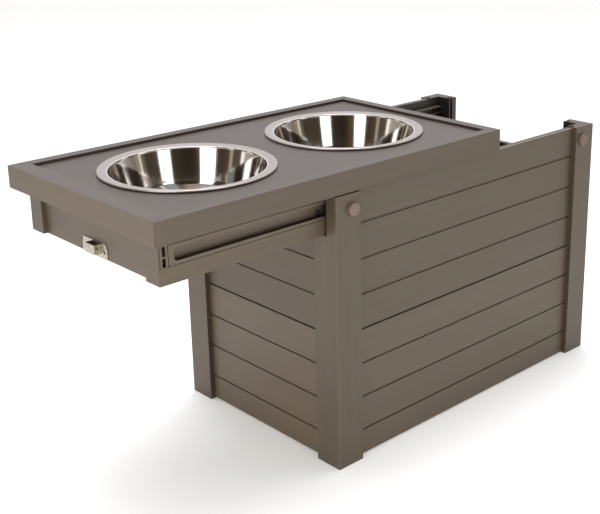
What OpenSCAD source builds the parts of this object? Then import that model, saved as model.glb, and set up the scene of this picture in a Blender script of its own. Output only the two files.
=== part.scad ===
// Raised pet feeder: a panelled storage box under a sliding top that holds two lift-out bowls.
// X runs along the box from front to rear, Y from the near side to the far side, Z up, in millimetres.
// The top is drawn pulled out of its shut position by pull_out.

/* [Box] */
// Width of the box over its corner posts
box_width = 310; // [300:1:380]
// Height of the corner posts
post_height = 360; // [340:1:440]
// Width of each leg of a corner post
post_leg = 41; // [38:0.5:48]
// Thickness of the legs of a corner post
post_thick = 17; // [16:0.5:20]
// Gap between the floor and the lower edge of the panels
panel_lift = 2; // [1:0.5:6]

/* [Panels] */
// Thickness of the board panels
panel_thick = 10; // [9:0.5:12]
// Thickness of the tongues on the ends of the panels
tongue_thick = 5; // [4:0.5:6]
// Length of the tongues on the ends of the panels
tongue_long = 8; // [6:0.5:9]
// Height of the lowest board of a panel
bottom_board = 34.6; // [30:0.1:44]
// Height of every other board, from groove to groove
board_pitch = 46.7; // [42:0.1:50]
// Number of boards in a lower panel
lower_boards = 4; // [3:1:4]
// Width of the grooves between boards
groove_wide = 2; // [1:0.1:3]
// Depth of the grooves between boards
groove_deep = 2.5; // [1.5:0.1:3]
// Height of the open seam between a lower and an upper panel
seam_gap = 2; // [1:0.1:3]
// Thickness of the ridge that joins a lower to an upper panel
ridge_thick = 3; // [2:0.1:4]
// Depth to which that ridge reaches into the upper panel
ridge_bite = 4; // [3:0.1:6]
// Gap between the posts and the ends of the ridge and of the storage floor
ridge_inset = 2; // [1:0.5:6]
// Gap between the top of the side panels and the top of the posts
side_panel_drop = 1.4; // [0.5:0.1:3]
// Gap between the end panels and the skirt of the sliding top
end_panel_gap = 3; // [2:0.5:6]
// Play of every tongue in its groove, on each side
fit_gap = 0.3; // [0.2:0.05:0.4]
// Depth left in a groove behind the end of the tongue
groove_rest = 1; // [0.5:0.1:2]

/* [Storage floor] */
// Height of the underside of the storage floor
floor_lift = 12; // [8:1:20]
// Thickness of the storage floor
floor_thick = 8; // [6:0.5:10]
// Depth of the storage floor's edge in the panels
floor_tongue = 4; // [3:0.5:5]

/* [Sliding top] */
// Distance by which the top is pulled out
pull_out = 233; // [0:1:320]
// Gap between the top of the posts and the moulding
top_gap = 1; // [0.6:0.1:2]
// Height of the moulding frame
mould_height = 28; // [24:0.5:36]
// Overhang of the moulding in front of the box
overhang_front = 15; // [10:0.5:22]
// Overhang of the moulding behind the box
overhang_rear = 16; // [10:0.5:22]
// Distance of the moulding's side faces inside the posts' faces
side_inset = 1; // [0:0.5:3]
// Width of the front rim of the moulding
rim_front = 24; // [16:0.5:30]
// Width of the side rims of the moulding
rim_side = 15.5; // [12:0.5:20]
// Width of the rear rim of the moulding
rim_rear = 15.5; // [12:0.5:20]
// Width of the moulding's ledge under the top panel
ledge_wide = 20; // [16:0.5:21]
// Depth of the top panel below the rim
panel_drop = 3.5; // [3:0.1:6]
// Thickness of the top panel
top_thick = 10; // [8:0.5:12]
// Height of the skirt below the moulding
skirt_height = 52; // [48:0.5:60]
// Gap between the skirt and the floor of the post's notch
notch_gap = 1; // [0.5:0.1:3]
// Gap between the posts' inner faces and the side boards
side_gap = 3; // [2:0.1:4]
// Thickness of the side boards
side_board_thick = 16; // [15:0.5:20]
// Height of the side boards' full-thickness lower part
side_ledge = 19.5; // [16:0.5:22]
// Width of the corner stubs at the front of the skirt
stub_wide = 26; // [22:0.5:30]
// Distance of the apron behind the stubs' faces
apron_recess = 6; // [5.5:0.1:7]
// Gap between the side boards and the rear posts
side_end_gap = 2; // [1:0.5:4]
// Thickness of the rear apron
rear_apron_thick = 12; // [10:0.5:14]
// Gap between the rear apron and the rear posts
rear_apron_gap = 1; // [0.5:0.1:3]

/* [Bowls] */
// Diameter of a bowl over its rim
bowl_rim = 214; // [190:1:232]
// Width of the bowl's flange
bowl_flange = 11.5; // [10:0.5:16]
// Play between a bowl and its hole, on each side
bowl_play = 3.5; // [1:0.1:4]
// Gap between the bowl's rim and the top panel
bowl_seat_gap = 0.1; // [0.05:0.05:0.3]
// Depth of a bowl from its rim to its underside
bowl_deep = 62; // [50:1:72]
// Lean of the bowl walls, in degrees
bowl_lean = 15.5; // [5:0.5:20]
// Radius between the bowl's wall and its floor
bowl_round = 25; // [14:1:28]
// Thickness of the bowl's sheet
bowl_sheet = 1; // [0.8:0.1:1.4]
// Diameter of the rolled edge of the rim
bowl_bead = 3.3; // [3:0.1:4]
// Gap between the rims of the two bowls
bowl_gap = 41; // [10:1:60]
// Gap between the bowls' rims and the ends of the moulding's opening
bowl_margin = 21.25; // [14:0.25:40]

/* [Slides] */
// Height of the slides' channels
slide_height = 23.5; // [21:0.5:26]
// Depth of the slides' channels
slide_deep = 9.7; // [9.2:0.1:11]
// Sheet thickness of the channels
channel_sheet = 1.2; // [1:0.05:1.4]
// Sheet thickness of the middle runners
runner_sheet = 1; // [0.8:0.05:1.1]
// Sheet thickness of the fixed rails
rail_sheet = 0.9; // [0.8:0.05:1]
// Height of the channels' lips, over the sheet's outer face
lip_height = 4.2; // [3.8:0.1:4.6]
// Length of the closed front end of the channels
channel_stop = 7; // [5:0.5:9]
// Diameter of the balls between channel and runner
outer_ball = 2.2; // [1.8:0.1:2.4]
// Diameter of the balls between runner and rail
inner_ball = 1.8; // [1.6:0.1:2]
// Play of every ball, on each side
ball_play = 0.1; // [0.05:0.01:0.12]
// Distance of the runners' front end behind the front of the box, with the top shut
runner_start = 112.5; // [100:0.5:140]
// Distance of the runners' rear end before the rails' rear end, with the top shut
runner_end = 17.5; // [2:0.5:40]
// Length of the runners' end bumpers
bumper_long = 4; // [3:0.5:6]
// Distance between balls in a row
ball_pitch = 24; // [16:1:26]
// Balls in a row
ball_count = 8; // [4:1:8]
// Running gap between the members of a slide
slide_gap = 0.5; // [0.4:0.05:0.6]
// Distance of the slides' rear ends before the ends of the side boards
slide_inset = 1; // [0.5:0.5:4]
// Distance of the outer channel screws from the ends of the channels' windows
channel_screw_inset = 30; // [20:1:60]

/* [Slide tabs] */
// Length of the tab in front of a channel
tab_long = 10; // [9:0.5:12]
// Width of the slots in the tab
tab_slot = 4.4; // [3:0.1:5]
// Height of the bridge between the slots
tab_bridge = 2; // [1.5:0.1:3]
// Height of the strip below the lower slot
tab_foot = 1; // [0.6:0.1:2]
// Height of the upper slot
tab_slot_high = 11; // [9:0.5:13]
// Gap between the tab and the channel
tab_gap = 1; // [0.6:0.1:2]
// Wall of the stub in front of the tab
stub_skin = 2.4; // [2:0.1:3]

/* [Fasteners] */
// Distance of the slide bolts from the posts' panel grooves
bolt_web = 5; // [4.5:0.1:6]
// Diameter of the slide bolts
bolt_d = 4; // [3:0.1:4.4]
// Height of the slide bolts' heads
bolt_head = 1.8; // [1.2:0.1:2.2]
// Diameter of the cap nuts
cap_d = 17; // [13:0.5:19]
// Height of the cap nuts
cap_high = 5.5; // [4:0.5:8]
// Rounding of the cap nuts' edge
cap_round = 2; // [1:0.5:3]
// Diameter of the panel screws
screw_d = 3; // [2.5:0.1:3.5]
// Diameter of the panel screws' heads
screw_head_d = 6.6; // [5.6:0.1:7.5]
// Height of the panel screws' heads
screw_head = 2.2; // [1.5:0.1:2.5]
// Length of the panel screws below their heads
screw_long = 12.5; // [11:0.5:14]
// Diameter of the small screws of the latch and the channels
small_screw_d = 2.6; // [2:0.1:3]
// Diameter of the small screws' heads
small_head_d = 5.2; // [4.4:0.1:5.6]
// Height of the small screws' heads
small_head = 1.1; // [0.8:0.1:1.3]
// Length of the small screws below their heads
small_long = 5; // [4:0.1:5.5]
// Play around every shank, on each side
shank_play = 0.1; // [0.05:0.01:0.15]

/* [Latch] */
// Radius of the round latch plates
plate_r = 26; // [25:0.5:28]
// Distance of the latch plates' round centre from their straight edge
plate_rise = 6; // [4:0.5:8]
// Height of each latch plate
plate_high = 18.5; // [18:0.5:20]
// Distance of the latch screws from the middle of the latch
plate_screw_y = 18; // [16:0.5:19]
// Distance of the latch screws from the straight edge of each plate
plate_screw_z = 7.5; // [6:0.5:10]
// Thickness of the latch plates
plate_thick = 1.2; // [1:0.1:1.5]
// Width of the bridge on each latch plate
bridge_wide = 19; // [17:0.5:24]
// Height of the keeper's bridge
keeper_high = 11.5; // [10:0.5:12]
// Height of the keeper's bridge over the straight edge of its plate
keeper_lift = 4; // [2:0.5:5]
// Height of the latch case's bridge
case_high = 18; // [17.5:0.5:18]
// Depth of both bridges before their plates
bridge_deep = 6.5; // [5.2:0.1:7.5]
// Sheet thickness of both bridges
bridge_sheet = 1.2; // [1:0.1:1.3]
// Play of the bolt in its bridges, on each side
bolt_play = 0.3; // [0.2:0.05:0.4]
// Gap between the case and the top edge of the end panel
case_drop = 0.5; // [0.5:0.1:1.5]
// Height of the sliding bolt
latch_bolt_high = 17.5; // [16:0.5:17.5]
// Travel of the sliding bolt
latch_travel = 10; // [8:0.5:10]
// Diameter of the thumb button's stem
stem_d = 4; // [3:0.1:4.5]
// Distance of the stem from the lower edge of the case
stem_inset = 2; // [1.5:0.1:2.4]
// Diameter of the thumb button
button_d = 9; // [7:0.5:10]
// Height of the thumb button
button_high = 2.5; // [2:0.1:4]

/* [Hidden] */
$fn = 48;
wood = [0.47, 0.43, 0.37];
wood_top = [0.52, 0.48, 0.46];
steel = [0.78, 0.78, 0.79];
zinc = [0.68, 0.67, 0.65];
nickel = [0.80, 0.76, 0.68];
black = [0.06, 0.06, 0.06];
bronze = [0.52, 0.45, 0.42];
over = 1;

// Heights
seam_z = panel_lift + bottom_board + (lower_boards - 1) * board_pitch;
top_z = post_height + top_gap;
skirt_z = top_z - skirt_height;
notch_z = skirt_z - notch_gap;
side_panel_top = post_height - side_panel_drop;
end_panel_top = skirt_z - end_panel_gap;
ledge_z = skirt_z + side_ledge;
ledge_high = mould_height - panel_drop - top_thick;
panel_z = top_z + ledge_high;
seat_z = panel_z + top_thick;
rim_z = seat_z + bowl_seat_gap + bowl_bead;

// Board panels and posts
panel_recess = post_thick - panel_thick;
tongue_y = panel_recess + (panel_thick - tongue_thick) / 2;
post_groove = tongue_long + groove_rest;
tongue_mid = post_leg - tongue_long / 2;
ridge_y = panel_recess + (panel_thick - ridge_thick) / 2 + groove_deep / 2;
lower_screw_z = seam_z / 2;
upper_screw_z = (seam_z + end_panel_top) / 2;

// Plan of the sliding top, in its shut position; the box under it follows from the bowls
bowl_spacing = bowl_rim + bowl_gap;
tray_length = rim_front + bowl_margin + bowl_rim + bowl_spacing + bowl_margin + rim_rear;
box_length = tray_length - overhang_front - overhang_rear;
tray_width = box_width - 2 * side_inset;
skirt_y = post_thick + side_gap;
rabbet_y = skirt_y + slide_gap + slide_deep;
board_y = skirt_y + side_board_thick;
side_end_x = box_length - post_thick - side_end_gap;
bowl_mid_x = (rim_front + tray_length - rim_rear) / 2 - overhang_front;
bowl_mouth_r = bowl_rim / 2 - bowl_flange;
bowl_hole = 2 * (bowl_mouth_r + bowl_play);
rim_x = [rim_front, tray_length - rim_rear];
rim_y = [rim_side, tray_width - rim_side];
ledge_x = [rim_x[0] + ledge_wide, rim_x[1] - ledge_wide];
ledge_y = [rim_y[0] + ledge_wide, rim_y[1] - ledge_wide];

// Telescopic slides
slide_z = ledge_z + fit_gap;
slide_mid = slide_z + slide_height / 2;
bolt_x = post_leg - post_groove - bolt_web;
channel_y = rabbet_y - slide_deep;
channel_in = slide_height / 2 - channel_sheet;
runner_half = channel_in - outer_ball - 2 * ball_play;
runner_in = runner_half - runner_sheet;
rail_half = runner_in - inner_ball - 2 * ball_play;
rail_in = rail_half - rail_sheet;
web_y = rabbet_y - channel_sheet;
runner_y1 = web_y - slide_gap;
runner_y0 = channel_y + channel_sheet + slide_gap;
rail_y1 = runner_y1 - runner_sheet - slide_gap;
tab_x = stub_skin;
stop_x = tab_x + tab_long + tab_gap;
channel_x0 = stop_x + channel_stop;
channel_x1 = side_end_x - slide_inset;
rail_x0 = channel_x0 + slide_gap;
runner_length = channel_x1 - runner_end - runner_start;
outer_ball_x = runner_start + bumper_long + ball_pitch / 2;
inner_ball_x = runner_start + runner_length - ball_pitch / 2 - (ball_count - 1) * ball_pitch;
ball_y = (runner_y0 + runner_y1) / 2 - runner_sheet;
channel_mid = (channel_x0 + channel_x1) / 2;
channel_screws_x = [channel_x0 + channel_screw_inset, channel_mid, channel_x1 - channel_screw_inset];

// Latch
latch_y = box_width / 2;
keeper_x = apron_recess - plate_thick;
case_x = panel_recess - plate_thick;
case_z = end_panel_top - case_drop;
latch_back_x = min(keeper_x, case_x) - bolt_play;
latch_front_x = max(keeper_x, case_x) - bridge_deep + bridge_sheet + bolt_play;
latch_bolt_wide = bridge_wide - 2 * bridge_sheet - 2 * bolt_play;
stem_z = case_z - case_high + stem_d / 2 + stem_inset;

// The whole feeder stands centred on the origin
rear_x = max(box_length, box_length + overhang_rear - pull_out);
mid_x = (rear_x - overhang_front - pull_out) / 2;

module in_box() translate([-mid_x, -box_width / 2, 0]) children();
module in_top() translate([-mid_x - pull_out, -box_width / 2, 0]) children();
module in_runner() translate([-mid_x - pull_out / 2, -box_width / 2, 0]) children();
module far() translate([0, box_width, 0]) mirror([0, 1, 0]) children();
module rear() translate([box_length, 0, 0]) mirror([1, 0, 0]) children();
module swap_xy() mirror([1, -1, 0]) children();
module both_sides() {
    children();
    far() children();
}
module four_corners() {
    both_sides() children();
    rear() both_sides() children();
}

// A box from one corner to the opposite one
module block(low, high) translate(low) cube(high - low);

// A cylinder along +Y from the given point
module along_y(at, d, h) translate(at) rotate([-90, 0, 0]) cylinder(d = d, h = h);

// A cylinder along +X from the given point
module along_x(at, d, h) translate(at) rotate([0, 90, 0]) cylinder(d = d, h = h);

// A screw along +Y whose head's seat is at the given point, the head towards -Y
module screw_y(at, d, long, head_d, head) {
    along_y(at, d, long);
    along_y(at - [0, head, 0], head_d, head);
}

// Holes for the panel screws in one leg along X
module leg_screw_holes() {
    for (z = [lower_screw_z, upper_screw_z])
        along_y([tongue_mid, post_thick - screw_long - over, z], screw_d + 2 * shank_play, screw_long + 2 * over);
}

module leg_groove() {
    block(
        [post_leg - post_groove, tongue_y - fit_gap, -over],
        [post_leg + over, tongue_y + tongue_thick + fit_gap, post_height + over]
    );
}

module corner_post(notched) {
    color(wood) difference() {
        union() {
            cube([post_leg, post_thick, post_height]);
            cube([post_thick, post_leg, notched ? notch_z : post_height]);
        }
        leg_groove();
        swap_xy() leg_groove();
        leg_screw_holes();
        swap_xy() leg_screw_holes();
        along_y([bolt_x, -over, slide_mid], bolt_d + 2 * shank_play, post_thick + 2 * over);
    }
}

// A panel along X between two posts, its face towards -Y
module board_panel(span, low, high, grooves) {
    shoulder = post_leg + fit_gap;
    difference() {
        union() {
            block([shoulder, panel_recess, low], [span - shoulder, post_thick, high]);
            block(
                [post_leg - tongue_long, tongue_y, low],
                [span - post_leg + tongue_long, tongue_y + tongue_thick, high]
            );
        }
        for (z = grooves)
            block(
                [shoulder - over, panel_recess - over, z - groove_wide / 2],
                [span - shoulder + over, panel_recess + groove_deep, z + groove_wide / 2]
            );
        for (x = [tongue_mid, span - tongue_mid], z = [lower_screw_z, upper_screw_z])
            along_y([x, 0, z], screw_d + 2 * shank_play, post_thick + over);
    }
}

module lower_panel(span) {
    high = seam_z - seam_gap / 2;
    grooves = [for (i = [1:lower_boards - 1]) seam_z - i * board_pitch];
    color(wood) difference() {
        union() {
            board_panel(span, panel_lift, high, grooves);
            block(
                [post_leg + ridge_inset, ridge_y, high],
                [span - post_leg - ridge_inset, ridge_y + ridge_thick, seam_z + seam_gap / 2 + ridge_bite]
            );
        }
        block(
            [post_leg - over, post_thick - floor_tongue - fit_gap, floor_lift - fit_gap],
            [span - post_leg + over, post_thick + over, floor_lift + floor_thick + fit_gap]
        );
    }
}

module upper_panel(span, high) {
    low = seam_z + seam_gap / 2;
    count = floor((high - seam_z - groove_wide) / board_pitch);
    grooves = [for (i = [1:count]) seam_z + i * board_pitch];
    color(wood) difference() {
        board_panel(span, low, high, grooves);
        block(
            [post_leg - over, ridge_y - fit_gap, low - over],
            [span - post_leg + over, ridge_y + ridge_thick + fit_gap, low + ridge_bite + fit_gap]
        );
    }
}

module storage_floor() {
    edge = post_thick + fit_gap;
    deep = post_thick - floor_tongue;
    side = post_leg + ridge_inset;
    color(wood) {
        difference() {
            block([deep, deep, floor_lift], [box_length - deep, box_width - deep, floor_lift + floor_thick]);
            four_corners() block([0, 0, 0], [side, edge, post_height]);
            four_corners() block([0, 0, 0], [edge, side, post_height]);
        }
    }
}

module panel_screw_pair() {
    for (z = [lower_screw_z, upper_screw_z])
        translate([tongue_mid, post_thick, z]) mirror([0, 1, 0])
            screw_y([0, 0, 0], screw_d, screw_long, screw_head_d, screw_head);
}

module panel_screws() {
    color(steel) four_corners() {
        panel_screw_pair();
        swap_xy() panel_screw_pair();
    }
}

// A C-section along X, its web at the +Y side, measured from the middle height
module c_section(x0, x1, y0, y1, half, sheet) {
    difference() {
        block([x0, y0, slide_mid - half], [x1, y1, slide_mid + half]);
        block([x0 - over, y0 - over, slide_mid - half + sheet], [x1 + over, y1 - sheet, slide_mid + half - sheet]);
    }
}

// The fixed rail: a C-section whose web lies on the posts' inner faces
module slide_rail() {
    x1 = channel_x1;
    color(zinc) difference() {
        block([rail_x0, post_thick, slide_mid - rail_half], [x1, rail_y1, slide_mid + rail_half]);
        block(
            [rail_x0 - over, post_thick + rail_sheet, slide_mid - rail_in],
            [x1 + over, rail_y1 + over, slide_mid + rail_in]
        );
        for (x = [bolt_x, box_length - bolt_x])
            along_y([x, 0, slide_mid], bolt_d + 2 * shank_play, post_thick + slide_deep);
    }
}

// Bolt heads lie inside the rail, their shanks reach through the posts into the caps
module slide_bolts() {
    head_y = post_thick + rail_sheet;
    color(steel) four_corners() {
        along_y([bolt_x, head_y, slide_mid], 2 * rail_in - 2 * shank_play, bolt_head);
        along_y([bolt_x, over - cap_high, slide_mid], bolt_d, head_y + cap_high - over);
    }
}

module cap_nuts() {
    color(bronze) four_corners()
        translate([bolt_x, 0, slide_mid]) rotate([90, 0, 0])
            difference() {
                rotate_extrude() {
                    square([cap_d / 2 - cap_round, cap_high]);
                    square([cap_d / 2, cap_high - cap_round]);
                    translate([cap_d / 2 - cap_round, cap_high - cap_round]) circle(r = cap_round);
                }
                translate([0, 0, -over]) cylinder(d = bolt_d + 2 * shank_play, h = cap_high + shank_play);
            }
}

// The middle runner: a C-section that carries the bumper in a step at its front end
module slide_runner() {
    color(zinc) difference() {
        c_section(runner_start, runner_start + runner_length, runner_y0, runner_y1, runner_half, runner_sheet);
        block(
            [runner_start - over, runner_y0 - over, slide_mid - runner_half - over],
            [runner_start + bumper_long, runner_y1 + over, slide_mid]
        );
    }
}

// The bumper caps the lower half of the runner's end and leaves the rail its way
module runner_bumper() {
    round = bumper_long / 2;
    top = slide_mid - fit_gap;
    low = slide_mid - runner_half;
    x0 = runner_start - round;
    x1 = runner_start + bumper_long;
    color(black) difference() {
        union() {
            block([x0 + round, runner_y0, low], [x1, runner_y1, top]);
            block([x0, runner_y0, low + round], [x0 + round, runner_y1, top - round]);
            for (z = [low + round, top - round])
                along_y([x0 + round, runner_y0, z], 2 * round, runner_y1 - runner_y0);
        }
        block([x0 - over, runner_y0 - over, slide_mid - runner_in], [x1 + over, runner_y1 - runner_sheet, slide_mid]);
    }
}

module ball_row(x0, d, z) {
    for (i = [0:ball_count - 1])
        translate([x0 + i * ball_pitch, ball_y, z]) sphere(d = d);
}

module slide_balls() {
    outer = runner_half + ball_play + outer_ball / 2;
    inner = rail_half + ball_play + inner_ball / 2;
    color(steel) for (side = [-1, 1]) {
        ball_row(outer_ball_x, outer_ball, slide_mid + side * outer);
        ball_row(inner_ball_x, inner_ball, slide_mid + side * inner);
    }
}

// The channel on the top's side board: lips round a long window, closed at the front, and a slotted tab
module slide_channel() {
    lip = lip_height;
    z0 = slide_z;
    z1 = slide_z + slide_height;
    tab_top = top_z - fit_gap;
    slot_x = tab_x + tab_long / 2;
    color(zinc) difference() {
        union() {
            block([stop_x, channel_y, z0], [channel_x1, rabbet_y, z1]);
            block([tab_x, web_y, z0], [stop_x, rabbet_y, z1]);
            block([tab_x, skirt_y, z0], [tab_x + channel_sheet, rabbet_y, z1]);
            block([tab_x, skirt_y, z0], [tab_x + tab_long, skirt_y + channel_sheet, tab_top]);
        }
        // hollow of the channel
        block(
            [stop_x + channel_sheet, channel_y + channel_sheet, z0 + channel_sheet],
            [channel_x1 + over, web_y, z1 - channel_sheet]
        );
        // window between the lips, with round front corners
        block([channel_x0 + lip, channel_y - over, z0 + lip], [channel_x1 + over, web_y, z1 - lip]);
        block([channel_x0, channel_y - over, z0 + 2 * lip], [channel_x0 + lip, web_y, z1 - 2 * lip]);
        for (z = [z0 + 2 * lip, z1 - 2 * lip])
            along_y([channel_x0 + lip, channel_y - over, z], 2 * lip, web_y - channel_y + over);
        // the tab's two slots
        block(
            [slot_x - tab_slot / 2, skirt_y - over, z0 + tab_foot],
            [slot_x + tab_slot / 2, skirt_y + 2 * over + channel_sheet, slide_mid - tab_bridge / 2]
        );
        block(
            [slot_x - tab_slot / 2, skirt_y - over, slide_mid + tab_bridge / 2],
            [slot_x + tab_slot / 2, skirt_y + 2 * over + channel_sheet, slide_mid + tab_bridge / 2 + tab_slot_high]
        );
        for (x = channel_screws_x)
            along_y([x, web_y - over, slide_mid], small_screw_d + 2 * shank_play, channel_sheet + 2 * over);
    }
}

// Thin heads, so that the runner passes over them
module channel_screws() {
    color(steel) both_sides() for (x = channel_screws_x)
        screw_y([x, web_y, slide_mid], small_screw_d, small_long, small_head_d, slide_gap / 2);
}

// The side board's front end is mitred against the stub
module side_board() {
    color(wood) difference() {
        rotate([90, 0, 90]) linear_extrude(side_end_x)
            polygon([
                [skirt_y, skirt_z], [board_y, skirt_z], [board_y, top_z],
                [rabbet_y, top_z], [rabbet_y, ledge_z], [skirt_y, ledge_z]
            ]);
        translate([0, skirt_y, skirt_z - over]) linear_extrude(skirt_height + 2 * over)
            polygon([
                [-over, -over], [side_board_thick + over, side_board_thick + over],
                [-over, side_board_thick + over]
            ]);
        for (x = channel_screws_x)
            along_y([x, rabbet_y - over, slide_mid], small_screw_d + 2 * shank_play, small_long + over);
    }
}

// Corner stub, mitred against the side board, with a skin in front of the slide's tab
module stub() {
    end_y = skirt_y + stub_wide;
    skin_x = stub_skin - fit_gap;
    color(wood) {
        difference() {
            translate([0, 0, skirt_z]) linear_extrude(skirt_height)
                polygon([
                    [0, skirt_y], [side_board_thick, board_y], [post_thick, board_y],
                    [post_thick, end_y], [0, end_y]
                ]);
            block([0, skirt_y - over, ledge_z], [post_thick + over, rabbet_y, top_z + over]);
        }
        block([0, skirt_y, ledge_z], [skin_x, rabbet_y, top_z]);
    }
}

module front_apron() {
    y0 = skirt_y + stub_wide;
    color(wood) difference() {
        block([apron_recess, y0, skirt_z], [post_thick, box_width - y0, top_z]);
        plate_screw_holes(skirt_z + plate_screw_z);
    }
}

module rear_apron() {
    y0 = post_leg + rear_apron_gap;
    color(wood) block([side_end_x, y0, skirt_z], [side_end_x + rear_apron_thick, box_width - y0, top_z]);
}

// Rails of the moulding: a rim and a lower ledge, mitred from the outer to the inner corner
module mould(rim, ledge) {
    color(wood) translate([-overhang_front, side_inset, top_z]) {
        linear_extrude(mould_height) polygon(rim);
        linear_extrude(ledge_high) polygon(ledge);
    }
}
module moulding_front() mould(
    [[0, 0], [rim_x[0], rim_y[0]], [rim_x[0], rim_y[1]], [0, tray_width]],
    [[rim_x[0], rim_y[0]], [ledge_x[0], ledge_y[0]], [ledge_x[0], ledge_y[1]], [rim_x[0], rim_y[1]]]
);

module moulding_rear() mould(
    [[tray_length, 0], [tray_length, tray_width], [rim_x[1], rim_y[1]], [rim_x[1], rim_y[0]]],
    [[rim_x[1], rim_y[0]], [rim_x[1], rim_y[1]], [ledge_x[1], ledge_y[1]], [ledge_x[1], ledge_y[0]]]
);

module moulding_near() mould(
    [[0, 0], [tray_length, 0], [rim_x[1], rim_y[0]], [rim_x[0], rim_y[0]]],
    [[rim_x[0], rim_y[0]], [rim_x[1], rim_y[0]], [ledge_x[1], ledge_y[0]], [ledge_x[0], ledge_y[0]]]
);

module top_panel() {
    x0 = rim_x[0] - overhang_front + fit_gap;
    x1 = rim_x[1] - overhang_front - fit_gap;
    y0 = side_inset + rim_y[0] + fit_gap;
    y1 = side_inset + rim_y[1] - fit_gap;
    color(wood_top) difference() {
        block([x0, y0, panel_z], [x1, y1, seat_z]);
        for (side = [-1, 1])
            translate([bowl_mid_x + side * bowl_spacing / 2, box_width / 2, panel_z - over])
                cylinder(d = bowl_hole, h = top_thick + 2 * over, $fn = 96);
    }
}

// Half section of a bowl: rolled edge, flange, drawn wall, round corner and flat floor, inner face at radius r
module bowl_half(r_edge, r_mouth, sheet) {
    floor_z = rim_z - bowl_deep;
    flange_z = rim_z - bowl_bead / 2;
    turn_z = floor_z + bowl_round;
    tan_z = turn_z - bowl_round * sin(bowl_lean);
    tan_x = r_mouth - (flange_z - tan_z) * tan(bowl_lean);
    turn_x = tan_x - bowl_round * cos(bowl_lean);
    thin_x = turn_x + (bowl_round - sheet) * cos(bowl_lean);
    thin_z = turn_z - (bowl_round - sheet) * sin(bowl_lean);
    thin_mouth = r_mouth - sheet / cos(bowl_lean);
    translate([0, floor_z]) square([turn_x, sheet]);
    intersection() {
        translate([turn_x, turn_z]) difference() {
            circle(r = bowl_round, $fn = 96);
            circle(r = bowl_round - sheet, $fn = 96);
        }
        polygon([
            [turn_x, turn_z], [turn_x, turn_z - 2 * bowl_round],
            [turn_x + 2 * bowl_round, turn_z - 2 * bowl_round],
            [turn_x + 3 * bowl_round * cos(bowl_lean), turn_z - 3 * bowl_round * sin(bowl_lean)]
        ]);
    }
    polygon([[thin_x, thin_z], [tan_x, tan_z], [r_mouth, flange_z], [thin_mouth, flange_z]]);
    polygon([
        [thin_mouth, flange_z], [r_mouth, flange_z - sheet],
        [r_edge - bowl_bead / 2, rim_z - sheet], [r_edge - bowl_bead / 2, rim_z]
    ]);
    translate([r_edge - bowl_bead / 2, rim_z - bowl_bead / 2]) circle(d = bowl_bead);
}

module bowl(side) {
    color(steel) translate([bowl_mid_x + side * bowl_spacing / 2, box_width / 2, 0])
        rotate_extrude($fn = 96) bowl_half(bowl_rim / 2, bowl_mouth_r, bowl_sheet);
}

module plate_screw_holes(z) {
    for (side = [-1, 1])
        along_x(
            [-over, latch_y + side * plate_screw_y, z],
            small_screw_d + 2 * shank_play, small_long + apron_recess + 2 * over
        );
}

// Round plate cut straight at its edge z, which goes up or down from there, and standing on x
module latch_plate(x, z, upward) {
    translate([x, latch_y, z]) mirror([0, 0, upward ? 0 : 1]) rotate([90, 0, 90]) linear_extrude(plate_thick)
        intersection() {
            translate([0, plate_rise]) circle(r = plate_r, $fn = 96);
            translate([-plate_r, 0]) square([2 * plate_r, plate_high]);
        }
}

// A bridge on a plate whose face is at x, hollow and open up and down
module bridge(x, z0, z1) {
    half = bridge_wide / 2;
    difference() {
        block([x - bridge_deep, latch_y - half, z0], [x, latch_y + half, z1]);
        block(
            [x - bridge_deep + bridge_sheet, latch_y - half + bridge_sheet, z0 - over],
            [x + over, latch_y + half - bridge_sheet, z1 + over]
        );
    }
}

module latch_keeper() {
    color(nickel) {
        difference() {
            latch_plate(keeper_x, skirt_z, true);
            plate_screw_holes(skirt_z + plate_screw_z);
        }
        bridge(keeper_x, skirt_z + keeper_lift, skirt_z + keeper_lift + keeper_high);
    }
}

module latch_case() {
    color(nickel) {
        difference() {
            latch_plate(case_x, case_z, false);
            plate_screw_holes(case_z - plate_screw_z);
        }
        difference() {
            bridge(case_x, case_z - case_high, case_z);
            stem_slot();
        }
    }
}

// The way of the button's stem through the front of the case
module stem_slot() {
    wide = stem_d + 2 * bolt_play;
    x0 = case_x - bridge_deep - over;
    high = stem_z + latch_travel;
    block([x0, latch_y - wide / 2, stem_z], [x0 + bridge_sheet + 2 * over, latch_y + wide / 2, high]);
    for (z = [stem_z, high])
        along_x([x0, latch_y, z], wide, bridge_sheet + 2 * over);
}

module latch_screws(x, z) {
    color(steel) for (side = [-1, 1])
        translate([x, latch_y + side * plate_screw_y, z]) rotate([0, 0, -90])
            screw_y([0, 0, 0], small_screw_d, small_long, small_head_d, small_head);
}

module latch_bolt() {
    low = stem_z - stem_d / 2;
    color(nickel) block(
        [latch_front_x, latch_y - latch_bolt_wide / 2, low],
        [latch_back_x, latch_y + latch_bolt_wide / 2, low + latch_bolt_high]
    );
}

// Stem and head of the thumb button, on the face of the bolt
module latch_button() {
    front = case_x - bridge_deep - bolt_play;
    color(nickel) {
        along_x([front, latch_y, stem_z], stem_d, latch_front_x - front);
        along_x([front - button_high, latch_y, stem_z], button_d, button_high);
    }
}

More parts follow.
